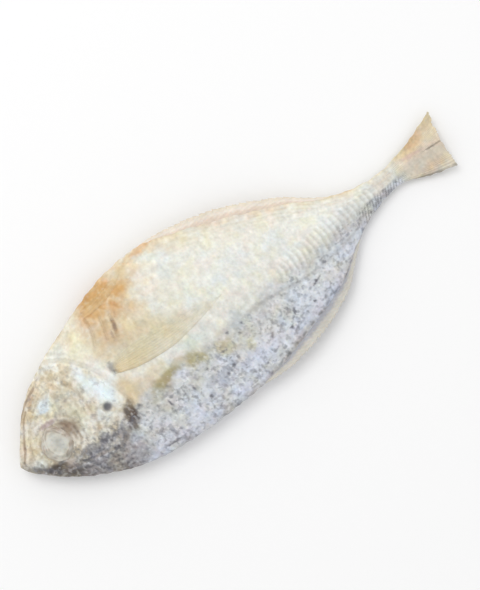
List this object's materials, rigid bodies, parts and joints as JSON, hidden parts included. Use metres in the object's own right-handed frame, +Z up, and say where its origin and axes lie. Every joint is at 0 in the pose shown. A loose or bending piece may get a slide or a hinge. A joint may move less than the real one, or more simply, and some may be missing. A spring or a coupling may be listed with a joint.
{
  "type": "dried trevally",
  "caption": "Whole small dried and salted fish lying on its side, with folded fins, keeled scutes and a clouded eye.",
  "frame": {"origin": "middle of the fish's outline, on the surface that it lies on", "axes": "+X from the tail to the head, +Y from the belly to the back, +Z up, out of the right flank"},
  "size_m": [0.15, 0.053, 0.0115],
  "materials": {
    "dried_skin": "satin"
  },
  "bodies": {
    "root": {"trevally": "dried_skin"}
  },
  "joints": []
}
